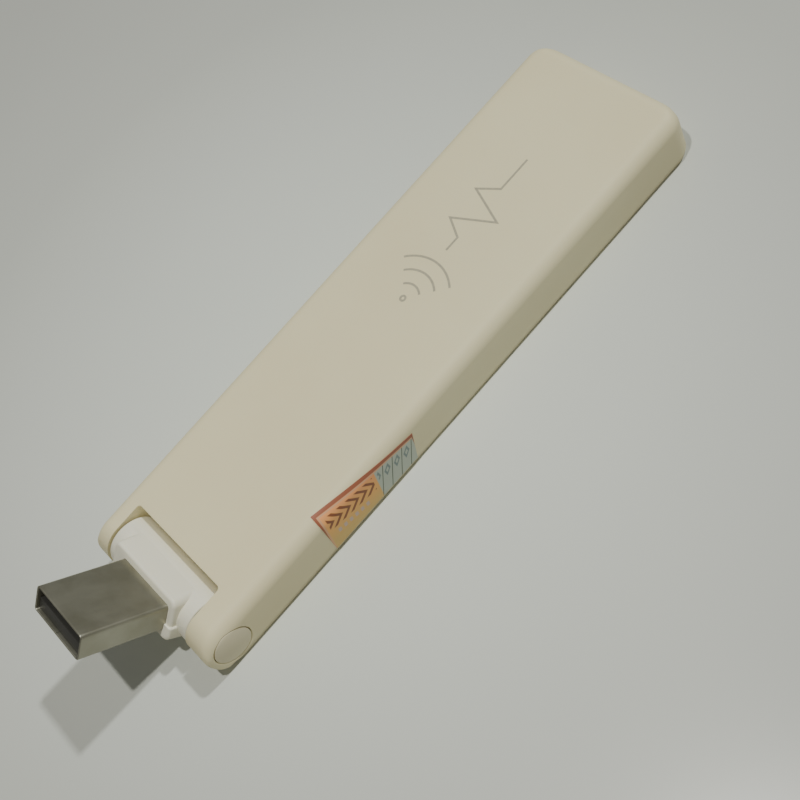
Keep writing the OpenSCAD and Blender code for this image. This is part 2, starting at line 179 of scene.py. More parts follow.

# Painted light: the laminate's colour is multiplied by a painted pool of light, palest where the adapter lies and
# a little darker all round.
desk_place = nodes.new("ShaderNodeTexCoord")
from_middle = nodes.new("ShaderNodeVectorMath")
from_middle.operation = "DISTANCE"
from_middle.inputs[1].default_value = painted_pool_middle
links.new(desk_place.outputs["Object"], from_middle.inputs[0])
painted_falloff = ramp_between(nodes, links, from_middle.outputs["Value"], desk_painted_light_falloff)
painted_pool_colour = nodes.new("ShaderNodeMix")
painted_pool_colour.data_type = "RGBA"
painted_pool_colour.blend_type = "MULTIPLY"
painted_pool_colour.inputs["Factor"].default_value = 1.0
links.new(mottle_ramp.outputs["Color"], painted_pool_colour.inputs["A"])
links.new(painted_falloff.outputs["Color"], painted_pool_colour.inputs["B"])
links.new(painted_pool_colour.outputs["Result"], shader.inputs["Base Color"])
shader.inputs["Roughness"].default_value = 0.28
shader.inputs["Specular IOR Level"].default_value = 0.4
desk_mesh.materials.append(desk_paint)

# ---- Back plate ------------------------------------------------------------------------
# The back plate is a flat moulding of warm ivory plastic, a little smaller all round than the
# cover that snaps over it. It carries the board's posts, a locating rim and the reset's pin hole.

bodies = frame["record"]["behaviour"]["bodies"]
body_of = {node: body for body, members in bodies.items() for node in members}


def smooth_but_creased(piece, crease_deg=32):
    """Smooth shading, with every edge sharp whose faces meet at more than crease_deg."""
    work = bmesh.new()
    work.from_mesh(piece.data)
    for face in work.faces:
        face.smooth = True
    for edge in work.edges:
        turned = edge.calc_face_angle(0.0) if len(edge.link_faces) == 2 else 0.0
        edge.smooth = bool(turned < np.radians(crease_deg))
    work.to_mesh(piece.data)
    work.free()
    return piece


def softened(node, name, material, edge_r, segments=2, crease_deg=28):
    """A copy of a CAD piece that stands for it: coincident vertices are merged, flat faces joined, and each
    edge that turns by more than crease_deg is rounded on edge_r millimetres in `segments` steps."""
    source = frame["nodes"][node]
    mesh = source.data.copy()
    mesh.name = name
    work = bmesh.new()
    work.from_mesh(mesh)
    bmesh.ops.remove_doubles(work, verts=work.verts, dist=2e-6)
    bmesh.ops.dissolve_degenerate(work, edges=work.edges, dist=1e-7)
    bmesh.ops.dissolve_limit(work, angle_limit=np.radians(0.5), verts=work.verts, edges=work.edges)
    sharp = [edge for edge in work.edges if len(edge.link_faces) == 2
             and edge.calc_face_angle(0.0) > np.radians(crease_deg)]
    bmesh.ops.bevel(work, geom=sharp, offset=edge_r * MM, segments=segments, profile=0.5,
                    affect="EDGES", clamp_overlap=True, material=-1)
    bmesh.ops.recalc_face_normals(work, faces=work.faces)
    work.to_mesh(mesh)
    work.free()
    mesh.materials.clear()
    mesh.materials.append(material)
    piece = bpy.data.objects.new(name, mesh)
    piece.matrix_world = source.matrix_world.copy()
    scene.collection.objects.link(piece)
    smooth_but_creased(piece)
    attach(piece, body_of[node])
    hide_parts(node)
    return piece


def ivory_plastic(name, colour, deeper, roughness):
    """Moulded plastic: a broad drift between two shades, a fine spark-eroded grain and faint rubbed
    patches in the gloss."""
    material, nodes, links, shader = new_material(name)
    drift = object_noise(nodes, links, 38.0, 3.0)
    shade = ramp_between(nodes, links, drift.outputs["Fac"], [(0.32, deeper), (0.68, colour)])
    links.new(shade.outputs["Color"], shader.inputs["Base Color"])
    rubbed = object_noise(nodes, links, 160.0, 5.0, (1, 3, 3))
    links.new(grey_range(nodes, links, rubbed.outputs["Fac"], roughness - 0.07, roughness + 0.09),
              shader.inputs["Roughness"])
    grain = object_noise(nodes, links, 6500.0, 2.0)
    fine_bump(nodes, links, shader, grain.outputs["Fac"], 0.25, 0.00004)
    shader.inputs["Specular IOR Level"].default_value = 0.35
    shader.inputs["Subsurface Weight"].default_value = 0.06
    shader.inputs["Subsurface Radius"].default_value = (0.002, 0.0015, 0.001)
    shader.inputs["Subsurface Scale"].default_value = 0.6
    return material


back_ivory = ivory_plastic("ivory_back_plastic", (0.76, 0.695, 0.475), (0.73, 0.655, 0.445), 0.58)
softened("back_plate", "back_moulding", back_ivory, 0.25)

# ---- Circuit board and antennas --------------------------------------------------------
# One glass-fibre board under green solder mask, sprinkled with tinned vias, rests on the back
# plate's posts. The two antennas are meanders of bare copper printed at its free end.


def finish_node(name, material):
    """A CAD piece whose shape is right keeps it and gets its material."""
    mesh = frame["nodes"][name].data
    mesh.materials.clear()
    mesh.materials.append(material)


def plain_finish(name, colour, roughness, metallic=0.0, drift=0.12, grain=2500.0):
    """A factory finish with a small drift of tone and a fine grain."""
    material, nodes, links, shader = new_material(name)
    noise = object_noise(nodes, links, grain, 3.0)
    shade = ramp_between(nodes, links, noise.outputs["Fac"],
                         [(0.3, tuple(c * (1 - drift) for c in colour)), (0.7, colour)])
    links.new(shade.outputs["Color"], shader.inputs["Base Color"])
    fine_bump(nodes, links, shader, noise.outputs["Fac"], 0.15, 0.00003)
    shader.inputs["Roughness"].default_value = roughness
    shader.inputs["Metallic"].default_value = metallic
    return material


# The vias are small round spots of tin, scattered at about four to the centimetre each way.
vias_per_metre = 380.0
via_edge = [(0.055, (1, 1, 1)), (0.075, (0, 0, 0))]
via_tin_colour = (0.55, 0.56, 0.52)
solder_mask = plain_finish("solder_mask", (0.02, 0.10, 0.045), 0.3, 0.0, 0.1, 900.0)
nodes, links = solder_mask.node_tree.nodes, solder_mask.node_tree.links
via_place = nodes.new("ShaderNodeTexCoord")
vias = nodes.new("ShaderNodeTexVoronoi")
vias.voronoi_dimensions = "2D"
vias.inputs["Scale"].default_value = vias_per_metre
links.new(via_place.outputs["Object"], vias.inputs["Vector"])
via_tin = ramp_between(nodes, links, vias.outputs["Distance"], via_edge)
mask_colour = nodes["Principled BSDF"].inputs["Base Color"].links[0].from_socket
via_mix = nodes.new("ShaderNodeMix")
via_mix.data_type = "RGBA"
links.new(via_tin.outputs["Color"], via_mix.inputs["Factor"])
links.new(mask_colour, via_mix.inputs["A"])
via_mix.inputs["B"].default_value = (*via_tin_colour, 1)
links.new(via_mix.outputs["Result"], nodes["Principled BSDF"].inputs["Base Color"])
finish_node("main_board", solder_mask)
copper = plain_finish("board_copper", (0.72, 0.40, 0.22), 0.35, 1.0)
finish_node("antenna_left", copper)
finish_node("antenna_right", copper)

# ---- Chips and small parts on the board ------------------------------------------------
# The processor, memory, amplifiers and power converter are black moulded epoxy; the resistors
# are black chips, the capacitors fired ceramic, and the inductor a ferrite block.

epoxy = plain_finish("moulded_epoxy", (0.025, 0.025, 0.028), 0.55)
softened("main_chip", "main_chip_body", epoxy, 0.06)
softened("flash_chip", "flash_chip_body", epoxy, 0.08)
softened("radio_amplifiers", "amplifier_bodies", epoxy, 0.06)
softened("power_converter", "converter_body", epoxy, 0.06)
softened("resistors", "resistor_bodies", epoxy, 0.04)
softened("capacitors", "capacitor_bodies", plain_finish("fired_ceramic", (0.34, 0.2, 0.11), 0.4), 0.08)
softened("power_inductor", "inductor_body", plain_finish("ferrite", (0.07, 0.07, 0.07), 0.6), 0.25)
softened("status_led", "status_light", plain_finish("led_resin", (0.85, 0.82, 0.6), 0.25), 0.08)

# ---- Shield can, crystal and thermal pad -----------------------------------------------
# The radio's can is tinned sheet steel, a frame soldered to the board with a lid pressed over it.
# The crystal's can is the same metal, and a soft pad on the lid carries heat to the cover.


def plated_steel(name, colour, worn, roughness, grain_stretch):
    """Plating on sheet steel: faint rolling lines along the sheet, and blotches of handling in colour and
    gloss."""
    material, nodes, links, shader = new_material(name)
    blotch = object_noise(nodes, links, 240.0, 4.0)
    shade = ramp_between(nodes, links, blotch.outputs["Fac"], [(0.35, worn), (0.65, colour)])
    links.new(shade.outputs["Color"], shader.inputs["Base Color"])
    rolled = object_noise(nodes, links, 1500.0, 3.0, grain_stretch)
    links.new(grey_range(nodes, links, rolled.outputs["Fac"], roughness - 0.03, roughness + 0.05),
              shader.inputs["Roughness"])
    fine_bump(nodes, links, shader, rolled.outputs["Fac"], 0.06, 0.00002)
    shader.inputs["Metallic"].default_value = 1.0
    return material


tin = plated_steel("tinned_steel", (0.66, 0.66, 0.63), (0.58, 0.58, 0.55), 0.32, (1, 0.2, 1))
finish_node("shield_frame", tin)
softened("shield_lid", "shield_lid_sheet", tin, 0.1)
softened("crystal", "crystal_can", tin, 0.15)
softened("thermal_pad", "thermal_sheet", plain_finish("thermal_gum", (0.32, 0.38, 0.5), 0.8), 0.12)

# ---- Reset switch and plunger ----------------------------------------------------------
# The reset switch hangs under the board, behind the pin hole, and its short plunger is pressed
# with a bent clip. Both are moulded plastic.

softened("reset_switch", "switch_body", plain_finish("switch_plastic", (0.05, 0.05, 0.055), 0.5), 0.12)
softened("reset_plunger", "plunger", plain_finish("plunger_plastic", (0.8, 0.8, 0.78), 0.4), 0.08)

# ---- Lead from the plug to the board ---------------------------------------------------
# A thin four-core lead in a black jacket comes out of the hollow left pin, turns and runs beside
# the slot; its red cores fan out and are soldered to four pads.

core_red = plain_finish("core_insulation", (0.55, 0.08, 0.07), 0.4)
finish_node("lead_cable", plain_finish("lead_jacket", (0.06, 0.06, 0.065), 0.6))
finish_node("lead_cores", core_red)
finish_node("solder_pads", plain_finish("solder", (0.7, 0.7, 0.7), 0.3, 1.0))

# ---- Top cover -------------------------------------------------------------------------
# One moulding of warm ivory plastic, a tub turned upside down over the board, with rounded
# long edges and two ears at one end that carry the hinge pins. It snaps over the back plate.

cover_low, cover_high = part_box("top_cover")
pin_low, pin_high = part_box("pivot_pin_right")
axis_x = pin_low.x / 2 + pin_high.x / 2
cover_t = cover_high.z / MM
half_w = (cover_high.y - cover_low.y) / 2 / MM
reach = (cover_high.x - axis_x) / MM
seam_z = cover_low.z / MM
axis_z = cover_t / 2
edge_r = 2.2
corner_r = 3.5
nose_edge_r = 1.0
foot_r = 0.3
wall = 1.1


def grid_quads(count_u, count_v, wrap_u, wrap_v):
    """Quads of a grid of vertices numbered row by row; a wrapped direction joins its last line to its
    first."""
    rows = np.arange(count_u if wrap_u else count_u - 1)
    columns = np.arange(count_v if wrap_v else count_v - 1)
    r, c = (a.ravel() for a in np.meshgrid(rows, columns, indexing="ij"))
    r2, c2 = (r + 1) % count_u, (c + 1) % count_v
    return np.stack([r * count_v + c, r2 * count_v + c, r2 * count_v + c2, r * count_v + c2], 1)


def grid_piece(name, points, wrap_u=False, wrap_v=False, caps=False):
    """A mesh object from a grid of points (u, v, xyz) in millimetres from the hinge axis's foot; with caps,
    the first and last rows are closed by flat faces. Vertices that coincide are merged and faces turned
    outwards."""
    count_u, count_v = points.shape[:2]
    faces = grid_quads(count_u, count_v, wrap_u, wrap_v).tolist()
    if caps:
        faces.append(list(range(count_v)))
        faces.append(list(range((count_u - 1) * count_v, count_u * count_v))[::-1])
    mesh = bpy.data.meshes.new(name)
    mesh.from_pydata(((points.reshape(-1, 3) + [axis_x / MM, 0, 0]) * MM).tolist(), [], faces)
    work = bmesh.new()
    work.from_mesh(mesh)
    bmesh.ops.remove_doubles(work, verts=work.verts, dist=1e-7)
    bmesh.ops.dissolve_degenerate(work, edges=work.edges, dist=1e-8)
    bmesh.ops.recalc_face_normals(work, faces=work.faces)
    work.to_mesh(mesh)
    work.free()
    piece = bpy.data.objects.new(name, mesh)
    scene.collection.objects.link(piece)
    return piece


def carved(piece, cutters, operation="DIFFERENCE"):
    """The piece with each cutter taken away (or added), then the cutters are thrown away."""
    for cutter in cutters:
        step = piece.modifiers.new("carve", "BOOLEAN")
        step.operation = operation
        step.solver = "EXACT"
        step.object = cutter
    bpy.context.view_layer.update()
    done = bpy.data.meshes.new_from_object(piece.evaluated_get(bpy.context.evaluated_depsgraph_get()))
    piece.modifiers.clear()
    piece.data = done
    for cutter in cutters:
        bpy.data.objects.remove(cutter)
    return piece


def arc(start_deg, end_deg, steps):
    """Cosines and sines of steps + 1 equal angles, as one row."""
    turn = np.radians(np.linspace(start_deg, end_deg, steps + 1))[None, :]
    return np.cos(turn), np.sin(turn)


def bar_rings(x, half, low, high, r_top, r_low, flat_steps=16, turn_steps=10):
    """Cross-sections of a bar at stations x: a rectangle from -half to half and from low to high whose upper
    corners turn on radius r_top and lower ones on r_low. Every size is a column, one row for each station."""
    x, half, low, high, r_top, r_low = (np.broadcast_to(np.asarray(a, float).reshape(-1, 1), (np.size(x), 1))
                                        for a in (x, half, low, high, r_top, r_low))
    across = np.linspace(-1, 1, flat_steps + 1)[None, 1:-1]
    parts = []
    for side, (turn0, turn1), r, z_edge in ((1, (-90, 0), r_low, low), (1, (0, 90), r_top, high),
                                            (-1, (90, 180), r_top, high), (-1, (180, 270), r_low, low)):
        c, s = arc(turn0, turn1, turn_steps)
        z_centre = np.where(z_edge == low, low + r, high - r)
        parts.append((side * (half - r) + r * c, z_centre + r * s))
        if (turn0, turn1) == (0, 90):
            parts.append((-(half - r) * across, high + 0 * across))
    parts.append(((half - r_low) * across, low + 0 * across))
    y = np.concatenate([p[0] for p in parts], 1)
    z = np.concatenate([p[1] for p in parts], 1)
    return np.stack([np.broadcast_to(x, y.shape), y, z], 2)


def cover_blank():
    """The cover before it is hollowed. Along the bar the section is constant; round the nose it follows a
    circle about the hinge axis, x = -R cos a and z = axis +- R sin a, and its sides turn in on nose_edge_r;
    at the free end its width turns in on corner_r and its top turns down on edge_r."""
    nose = np.radians(np.linspace(3, 90, 22))
    x_nose = -axis_z * np.cos(nose)
    lift = axis_z * np.sin(nose)
    in_nose = np.clip(-x_nose - (axis_z - nose_edge_r), 0, nose_edge_r)
    half_nose = half_w - nose_edge_r + np.sqrt(nose_edge_r ** 2 - in_nose ** 2)
    share = (1 - np.cos(nose)) ** 0.5
    most_r = 0.48 * lift + 0.02
    top_r_nose = np.minimum(nose_edge_r + (edge_r - nose_edge_r) * share, most_r)
    foot_r_nose = np.minimum(nose_edge_r + (foot_r - nose_edge_r) * share, most_r)
    x_run = np.linspace(0, reach - corner_r, 70)[1:-1]
    turn = np.radians(np.linspace(0, 90, 31))
    x_end = reach - corner_r + corner_r * np.sin(turn)
    past = np.clip(x_end - (reach - edge_r), 0, edge_r)
    x = np.concatenate([x_nose, x_run, x_end])
    half = np.concatenate([half_nose, half_w + 0 * x_run, half_w - corner_r + corner_r * np.cos(turn)])
    low = np.concatenate([np.maximum(seam_z, axis_z - lift), seam_z + 0 * x_run, seam_z + 0 * x_end])
    high_end = cover_t - edge_r + np.sqrt(edge_r ** 2 - past ** 2)
    high = np.concatenate([axis_z + lift, cover_t + 0 * x_run, high_end])
    r_top = np.concatenate([top_r_nose, edge_r + 0 * x_run, edge_r + 0 * x_end])
    r_low = np.concatenate([foot_r_nose, foot_r + 0 * x_run, foot_r + 0 * x_end])
    rings = bar_rings(x, half, low, high, r_top, r_low)
    return grid_piece("cover_moulding", rings, wrap_v=True, caps=True)


slot_right = -9.75
slot_left = 11.35
slot_reach = 4.8
slot_corner_r = 0.6
slot_edge_r = 0.12


def slot_cutter():
    """The slot between the ears as a solid to take away: its plan is a rectangle with round inner corners,
    which grows by slot_edge_r on a quarter circle at the top, so that the cover's edge there is rounded."""
    c, s = arc(0, 90, 8)
    r = slot_corner_r
    plan_x = np.concatenate([[-20.0], [-20.0], slot_reach - r + r * s[0], slot_reach - r + r * c[0]])
    plan_y = np.concatenate([[slot_left], [slot_right], slot_right + r - r * c[0], slot_left - r + r * s[0]])
    out_x = np.concatenate([[0.0], [0.0], s[0], c[0]])
    out_y = np.concatenate([[1.0], [-1.0], -c[0], s[0]])
    rise = np.radians(np.linspace(0, 90, 7))
    grow = np.concatenate([[0.0], slot_edge_r * (1 - np.cos(rise)), [slot_edge_r + 1.0]])[:, None]
    z_rise = cover_t - slot_edge_r + slot_edge_r * np.sin(rise)
    z = np.concatenate([[-1.0], z_rise, [cover_t + 1.0]])[:, None]
    points = np.stack([plan_x + grow * out_x, plan_y + grow * out_y, z + 0 * plan_x], 2)
    return grid_piece("slot_cutter", points, wrap_v=True, caps=True)


def round_cutter(name, centre, axis, radii, stations, sides=72):
    """A turned solid along axis ('x', 'y' or 'z') through centre: radius radii[i] at station stations[i]."""
    turn = np.linspace(0, 2 * np.pi, sides, endpoint=False)[None, :]
    r = np.asarray(radii, float)[:, None]
    along = np.asarray(stations, float)[:, None] + 0 * turn
    a, b = r * np.cos(turn), r * np.sin(turn)
    order = {"x": (along, a, b), "y": (b, along, a), "z": (a, b, along)}[axis]
    return grid_piece(name, np.stack(order, 2) + np.asarray(centre, float), wrap_v=True, caps=True)


head_seat_r = 3.29
head_t = 1.0
pin_bore_r = 2.22
pin_bore_start = 8.0
seat_edge = 0.12


def pin_seat_cutter(side):
    """The stepped hole of a pin in one ear: the shank's bore, the head's seat and a small rounded mouth."""
    mouth_r = head_seat_r + seat_edge
    steps = np.array([[pin_bore_r, pin_bore_start], [pin_bore_r, half_w - head_t],
                      [head_seat_r, half_w - head_t], [head_seat_r, half_w - seat_edge],
                      [mouth_r, half_w], [mouth_r, half_w + 1]])
    return round_cutter("pin_seat_cutter", (0, 0, axis_z), "y", steps[:, 0], side * steps[:, 1])


slot_wall = 1.3
cavity_top = cover_t - wall


def cavity_cutter():
    """The room for the board: a bar with round corners, a wall's thickness inside the cover, open below."""
    turn = np.radians(np.linspace(0, 90, 9))
    r = corner_r - wall
    x = np.concatenate([[slot_reach + slot_wall], reach - wall - r + r * np.sin(turn)])
    half = np.concatenate([[half_w - wall], half_w - wall - r + r * np.cos(turn)])
    rings = bar_rings(x, half, -1.0, cavity_top, edge_r - wall, 0.1)
    return grid_piece("cavity_cutter", rings, wrap_v=True, caps=True)


# The lead's channel opens from the left ear into the cavity.
lead_y, lead_channel_r = 12.9, 0.9
lead_run = [0, slot_reach + slot_wall + 1.0]

# The cover is thinned from inside over the status light, which shines through it.
light_at = (11, -9)
light_spot_r = 1.5
light_spot_run = [cavity_top - 1, cavity_top + 0.6]

# Four round posts press the board down; the hollow end of each takes a peg of the back plate that comes
# up through the board.
posts_at = [(post_x, post_y) for post_x in (25, 92) for post_y in (-11.2, 11.2)]
board_top, post_r, post_hole_r = 3.8, 1.5, 0.7
post_run = [board_top, cavity_top + 0.2]
post_hole_run = [board_top - 1, board_top + 1]

ivory = ivory_plastic("ivory_cover_plastic", (0.80, 0.735, 0.475), (0.77, 0.695, 0.44), 0.55)
cover = carved(cover_blank(), [
    slot_cutter(), pin_seat_cutter(1), pin_seat_cutter(-1), cavity_cutter(),
    round_cutter("lead_channel", (0, lead_y, axis_z), "x", [lead_channel_r] * 2, lead_run, 32),
    round_cutter("thin_spot", (*light_at, 0), "z", [light_spot_r] * 2, light_spot_run, 48)])
carved(cover, [round_cutter("post", (*at, 0), "z", [post_r] * 2, post_run, 40)
               for at in posts_at], "UNION")
carved(cover, [round_cutter("post_hole", (*at, 0), "z", [post_hole_r] * 2, post_hole_run, 32)
               for at in posts_at])
smooth_but_creased(cover)
cover.data.materials.clear()
cover.data.materials.append(ivory)
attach(cover, "casing")
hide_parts("top_cover")

# ---- Printed mark ----------------------------------------------------------------------
# A generic mark in grey ink, pad-printed on the cover: arcs spreading from a dot, then a line
# with a pulse in it. The ink stands about a hundredth of a millimetre above the cover.

mark_start = 53.2
mark_middle = 0.35
dot_x = 0.8
dot_r = 0.42
arc_radii = (2.6, 5.0, 7.4)
arc_spread_deg = 44
stroke_w = 0.36
ink_low, ink_high = -0.01, 0.012


def arc_stroke(radius, spread_deg, steps=24):
    """Part of a circle about the mark's dot, opening along +X."""
    turn = np.radians(np.linspace(-spread_deg, spread_deg, steps + 1))
    return np.stack([mark_start + dot_x + radius * np.cos(turn), mark_middle + radius * np.sin(turn)], 1)


def printed_lines(name, strokes, width, bottom, top):
    """Each stroke's centre line widened by half its width to both sides and given the ink's thickness. At a
    bend both edges meet on the mitre, which lies half way between the directions before and after."""
    points, faces, first = [], [], 0
    for stroke in strokes:
        run = np.diff(stroke, axis=0)
        run /= np.linalg.norm(run, axis=1)[:, None]
        before, after = np.vstack([run[:1], run]), np.vstack([run, run[-1:]])
        across = np.stack([-(before + after)[:, 1], (before + after)[:, 0]], 1)
        across /= np.linalg.norm(across, axis=1)[:, None]
        straight = np.stack([-after[:, 1], after[:, 0]], 1)
        reach_out = width / 2 / np.clip((across * straight).sum(1), 0.35, 1)[:, None] * across
        corners = [np.column_stack([stroke + side * reach_out, np.full(len(stroke), z)])
                   for side, z in ((1, bottom), (-1, bottom), (-1, top), (1, top))]
        points.append(np.stack(corners, 1).reshape(-1, 3))
        faces += (grid_quads(len(stroke), 4, False, True) + first).tolist()
        last = first + 4 * (len(stroke) - 1)
        faces += [[first + k for k in range(4)], [last + k for k in (3, 2, 1, 0)]]
        first += 4 * len(stroke)
    mesh = bpy.data.meshes.new(name)
    mesh.from_pydata(((np.vstack(points) + [axis_x / MM, 0, 0]) * MM).tolist(), [], faces)
    work = bmesh.new()
    work.from_mesh(mesh)
    bmesh.ops.recalc_face_normals(work, faces=work.faces)
    work.to_mesh(mesh)
    work.free()
    piece = bpy.data.objects.new(name, mesh)
    scene.collection.objects.link(piece)
    return piece


pulse = np.array([[10.6, 0], [13.2, 0], [15.2, 3.6], [18.4, -3.6], [21.2, 3.6], [23.2, 0], [29.3, 0]])
mark_strokes = [arc_stroke(dot_r, 179.0)]
mark_strokes += [arc_stroke(radius, arc_spread_deg) for radius in arc_radii]
mark_strokes += [pulse + [mark_start, mark_middle]]
mark = printed_lines("printed_mark", mark_strokes, stroke_w, cover_t + ink_low, cover_t + ink_high)
ink, nodes, links, shader = new_material("grey_ink")
ink_cover = object_noise(nodes, links, 4200.0, 2.0)
ink_ramp = ramp_between(nodes, links, ink_cover.outputs["Fac"],
                        [(0.3, (0.36, 0.335, 0.25)), (0.7, (0.46, 0.425, 0.31))])
links.new(ink_ramp.outputs["Color"], shader.inputs["Base Color"])
shader.inputs["Roughness"].default_value = 0.6
shader.inputs["Specular IOR Level"].default_value = 0.3
mark.data.materials.append(ink)
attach(mark, "casing")

# ---- Hinge pins and washer -------------------------------------------------------------
# Two ivory pins, pressed in from outside, whose round heads lie flush in the ears. A spring
# washer between the right ear and the barrel holds the plug at any angle.

pin_ivory = ivory_plastic("ivory_pin_plastic", (0.735, 0.67, 0.465), (0.705, 0.635, 0.44), 0.5)
softened("pivot_pin_left", "pin_moulding_left", pin_ivory, 0.1)
softened("pivot_pin_right", "pin_moulding_right", pin_ivory, 0.1)
spring_steel = plated_steel("spring_steel", (0.6, 0.6, 0.6), (0.5, 0.5, 0.5), 0.3, (1, 1, 1))
finish_node("friction_washer", spring_steel)

# ---- Hinge barrel and block ------------------------------------------------------------
# Two off-white mouldings closed round the plug's root. Together they make a barrel that turns
# on the pins and a block that carries the metal shell; the lower half stands out as a lip.

plug_joint = [j for j in frame["joints"] if j["name"] == "plug_hinge"][0]
lowest_deg = plug_joint["range_deg"][0]
tilt = np.radians(-lowest_deg - 90)
barrel_r = 4.4
barrel_right, barrel_left = -9.45, 11.05
barrel_mid = (barrel_right + barrel_left) / 2
barrel_edge_r = 0.3
block_corner_r = 1.2
block_edge_r = 0.5
parted_corner_r = 0.35
buried_corner_r = 0.02

# The block starts a little inside the barrel's surface, and the lip's foot a little inside the block's.
block_sink = 0.02
lip_sink = 0.005


def on_plug(points):
    """Points drawn with the plug straight along -X and the hinge axis as origin, turned up by the tilt."""
    x, y, z = points[..., 0], points[..., 1], points[..., 2]
    turned_x = x * np.cos(tilt) + z * np.sin(tilt)
    turned_z = axis_z - x * np.sin(tilt) + z * np.cos(tilt)
    return np.stack([turned_x, y, turned_z], -1)


block_reach, block_half_w, block_half_h = 5.4, 7.9, 3.65
lip_out, lip_drop = 0.3, 0.95


def barrel_form():
    """The barrel: a turned solid along the hinge axis whose two ends are rounded on barrel_edge_r."""
    turn = np.radians(np.linspace(0, 90, 7))
    rim_y = barrel_edge_r * (1 - np.cos(turn))
    rim_r = barrel_r - barrel_edge_r + barrel_edge_r * np.sin(turn)
    stations = np.concatenate([barrel_right + rim_y, (barrel_left - rim_y)[::-1]])
    return round_cutter("barrel", (0, 0, axis_z), "y", np.concatenate([rim_r, rim_r[::-1]]), stations, 120)


def block_form(name, reach, half_w, low, high, from_x=0.0):
    """The block in front of the barrel, as sections along the plug: its top and bottom fall in a straight
    slope from the barrel's height to block_half_h, and the front edge turns on block_edge_r."""
    turn = np.radians(np.linspace(0, 90, 8))
    edge_x = reach - block_edge_r
    x = np.concatenate([np.linspace(from_x, edge_x, 14), edge_x + block_edge_r * np.sin(turn[1:])])
    fall = np.clip(x / edge_x, 0, 1)
    swell = (barrel_r - block_sink - block_half_h) * (1 - fall)
    share = np.clip((x - reach + block_edge_r) / block_edge_r, 0, 1)
    inset = np.where(x > edge_x, block_edge_r * (1 - np.sqrt(np.clip(1 - share ** 2, 0, 1))), 0.0)
    top = np.where(high > 0.5, high + swell - inset, high)
    bottom = np.where(low < -0.5, low - swell + inset, low)
    r_top = (block_corner_r if high > 0.5 else parted_corner_r) - 0.5 * inset
    r_low = block_corner_r - 0.5 * inset if low < -0.5 else buried_corner_r + 0 * inset
    sections = bar_rings(-x, half_w - inset, bottom, top, r_top, r_low)
    sections[..., 1] += barrel_mid
    return grid_piece(name, on_plug(sections), wrap_v=True, caps=True)


plug_w, plug_h, plug_front, plug_root = 12.0, 4.5, 19.4, 1.5
core_room_low = (-plug_root - 0.1, -6.7, -1.8)
core_room_high = (1.5, 8.3, 1.8)
bore_r = 2.25
right_bore_run = [-12, -6.6]
left_bore_run = [8.2, 13]
washer_seat_r = 3.35
washer_seat_run = [-12, -9.25]


def box_cutter(name, low, high):
    """A plain box to take away, drawn with the plug straight and turned with it."""
    (x0, y0, z0), (x1, y1, z1) = low, high
    loop = np.array([[y0, z0], [y1, z0], [y1, z1], [y0, z1]])
    points = np.stack([np.concatenate([np.full((4, 1), x), loop], 1) for x in (x0, x1)])
    return grid_piece(name, on_plug(points), wrap_v=True, caps=True)


def shell_pocket(gap=0.03, corner=0.63):
    """The room the shell stands in, open to the front: a bar with the shell's round corners."""
    x = np.array([-plug_root, -30.0])
    across = bar_rings(x, plug_w / 2 + gap, -plug_h / 2 - gap, plug_h / 2 + gap, corner, corner)
    return grid_piece("pocket", on_plug(across), wrap_v=True, caps=True)


def barrel_cutters():
    """What both halves leave free: the shell's pocket, the room behind it, and the bores of the pins."""
    return [
        shell_pocket(),
        box_cutter("core_room", core_room_low, core_room_high),
        round_cutter("right_bore", (0, 0, axis_z), "y", [bore_r] * 2, right_bore_run),
        round_cutter("left_bore", (0, 0, axis_z), "y", [bore_r] * 2, left_bore_run),
        round_cutter("washer_seat", (0, 0, axis_z), "y", [washer_seat_r] * 2, washer_seat_run),
    ]


def whole_block():
    """The block of both halves together."""
    return block_form("block", block_reach, block_half_w, -block_half_h, block_half_h)


def lip_form():
    """The lip: the block's lower part, carried out by lip_out to the front and to both sides."""
    low = -block_half_h + lip_sink
    return block_form("lip", block_reach + lip_out, block_half_w + lip_out, low, -lip_drop, 1.0)


hinge_white = ivory_plastic("hinge_plastic", (0.85, 0.825, 0.68), (0.825, 0.795, 0.645), 0.45)
parting_gap = 0.015
all_round = 30
below = box_cutter("below_parting", (-all_round, -all_round, -all_round), (all_round, all_round, parting_gap))
upper_half = carved(barrel_form(), [whole_block()], "UNION")
carved(upper_half, barrel_cutters() + [below])
above = box_cutter("above_parting", (-all_round, -all_round, -parting_gap), (all_round, all_round, all_round))
lower_half = carved(barrel_form(), [whole_block(), lip_form()], "UNION")
carved(lower_half, barrel_cutters() + [above])
for half, node in ((upper_half, "hinge_half_upper"), (lower_half, "hinge_half_lower")):
    smooth_but_creased(half)
    half.data.materials.clear()
    half.data.materials.append(hinge_white)
    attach(half, "plug")
    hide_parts(node)

# ---- Plug shell ------------------------------------------------------------------------
# The plug's shell is nickel-plated sheet steel, folded into a tube of standard size. Its cut
# front edge is rounded over; the underside has its lengthwise seam and two punched latch windows.

sheet_t = 0.3
shell_r = 0.6


def rounded_loop(half_y, half_z, r, steps=8, flat=10):
    """A rectangle with round corners, as a loop of (y, z); sizes may be columns, one row each."""
    half_y, half_z, r = (np.asarray(a, float).reshape(-1, 1) for a in (half_y, half_z, r))
    y, z = [], []
    for k, (sy, sz) in enumerate(((1, -1), (1, 1), (-1, 1), (-1, -1))):
        c, s = arc(90 * k - 90, 90 * k, steps)
        y.append(sy * (half_y - r) + r * c)
        z.append(sz * (half_z - r) + r * s)
    loop_y, loop_z = [], []
    share = np.linspace(0, 1, flat + 1)[None, 1:-1]
    for k in range(4):
        n = (k + 1) % 4
        loop_y += [y[k], y[k][:, -1:] * (1 - share) + y[n][:, :1] * share]
        loop_z += [z[k], z[k][:, -1:] * (1 - share) + z[n][:, :1] * share]
    return np.concatenate(loop_y, 1), np.concatenate(loop_z, 1)


